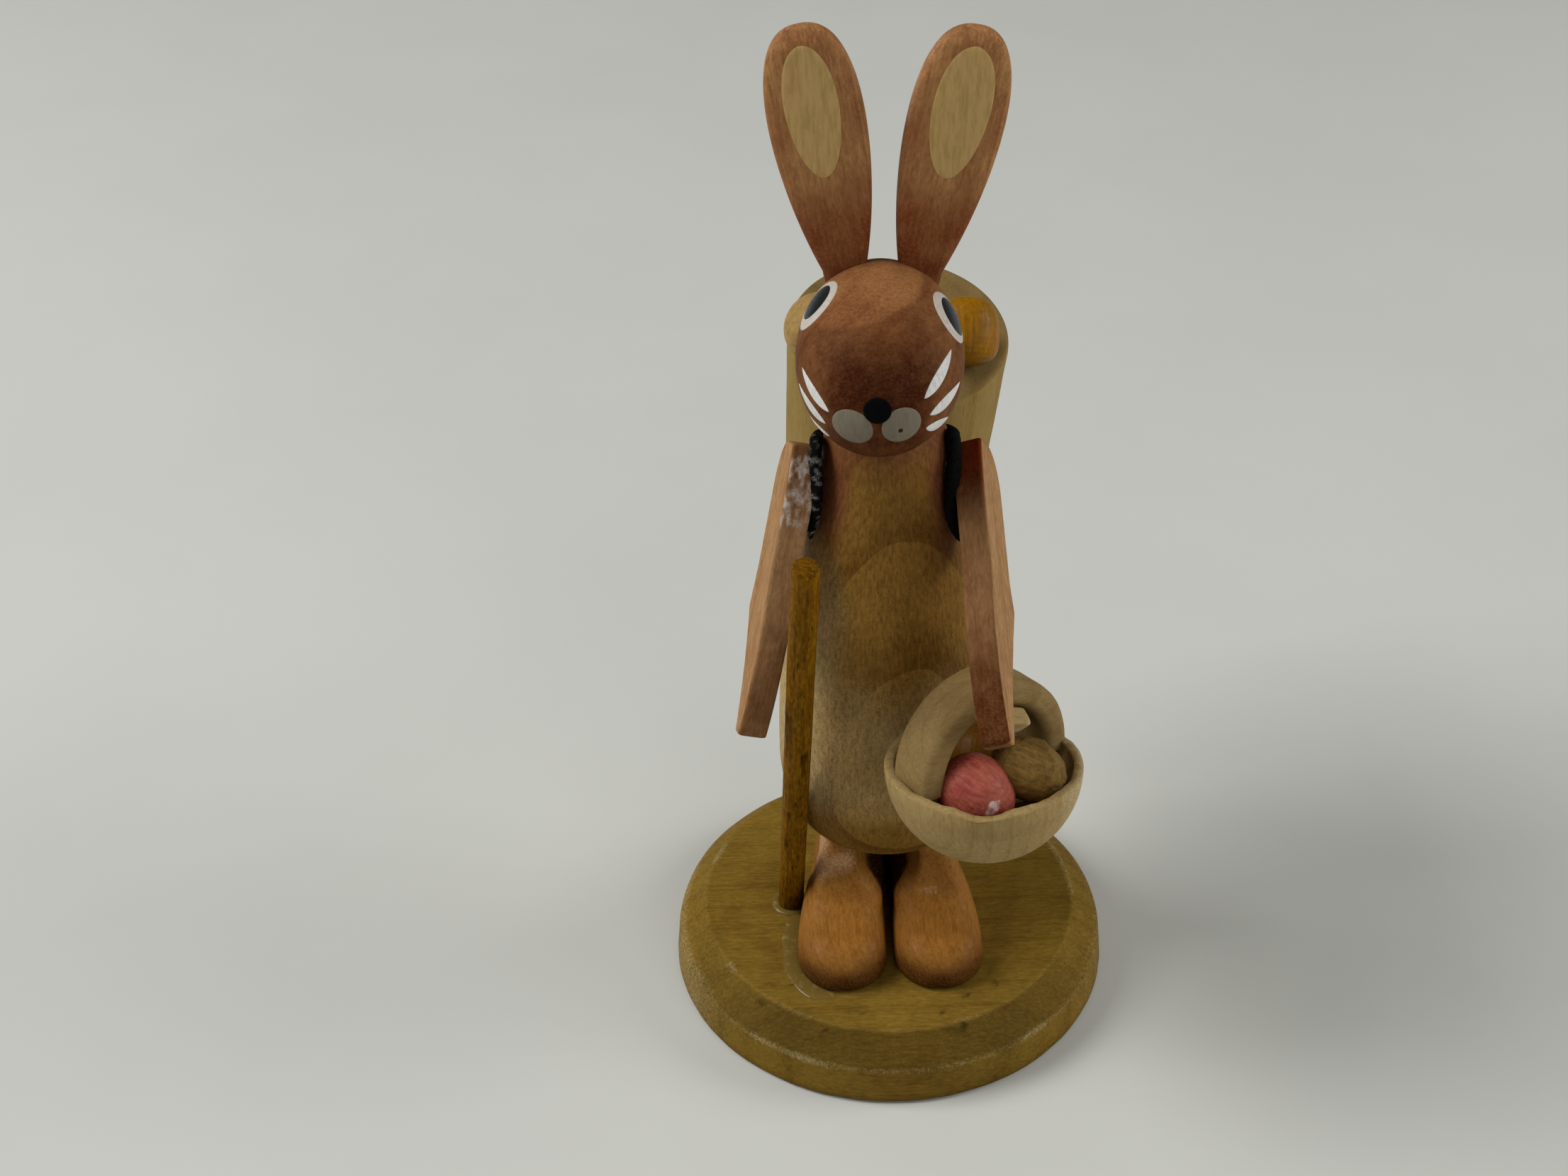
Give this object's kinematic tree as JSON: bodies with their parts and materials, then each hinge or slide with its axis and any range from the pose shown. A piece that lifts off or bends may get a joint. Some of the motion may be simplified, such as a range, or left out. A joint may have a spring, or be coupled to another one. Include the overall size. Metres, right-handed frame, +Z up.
{
  "type": "wooden hare figurine",
  "caption": "Turned wooden hare standing on a round base, with long ears, a walking stick, a pannier of eggs on its back and a small hooped basket of eggs in its hand.",
  "frame": {"origin": "centre of the round base's underside, on the surface it stands on", "axes": "+Z up, the hare faces -Y, +X to the right of a viewer who looks at its face"},
  "size_m": [0.0672, 0.0862, 0.1535],
  "materials": {
    "base_stain": "dull olive-brown stain with scuffs",
    "foot_stain": "satin orange-brown stain",
    "hare_stain": "sprayed reddish-brown stain with painted face and ear linings",
    "body_wood": "sealed natural wood, sprayed brown round the neck and shoulders",
    "pale_wood": "bare pale wood",
    "stick_wood": "bare yellow-brown dowel",
    "strap_cord": "matt black cord",
    "egg_yellow": "thin satin paint over turned rings",
    "egg_cream": "bare pale wood",
    "egg_red": "thin mottled paint",
    "egg_brown": "rough natural wood"
  },
  "bodies": {
    "root": {"base": "base_stain", "foot_left": "foot_stain", "foot_right": "foot_stain", "leg_dowel_left": "pale_wood", "leg_dowel_right": "pale_wood", "body": "body_wood", "neck_dowel": "pale_wood", "head": "hare_stain", "ear_left": "hare_stain", "ear_right": "hare_stain", "arm_left": "body_wood", "arm_right": "body_wood", "arm_dowel_left": "pale_wood", "arm_dowel_right": "pale_wood", "hand_peg": "pale_wood", "walking_stick": "stick_wood", "pannier": "body_wood", "pannier_dowel": "pale_wood", "strap_left": "strap_cord", "strap_right": "strap_cord", "pannier_egg_yellow": "egg_yellow", "pannier_egg_cream": "egg_cream", "pannier_egg_red": "egg_red", "basket_bowl": "pale_wood", "basket_hoop": "pale_wood", "basket_egg_red": "egg_red", "basket_egg_brown": "egg_brown", "basket_egg_yellow": "egg_yellow"}
  },
  "joints": []
}
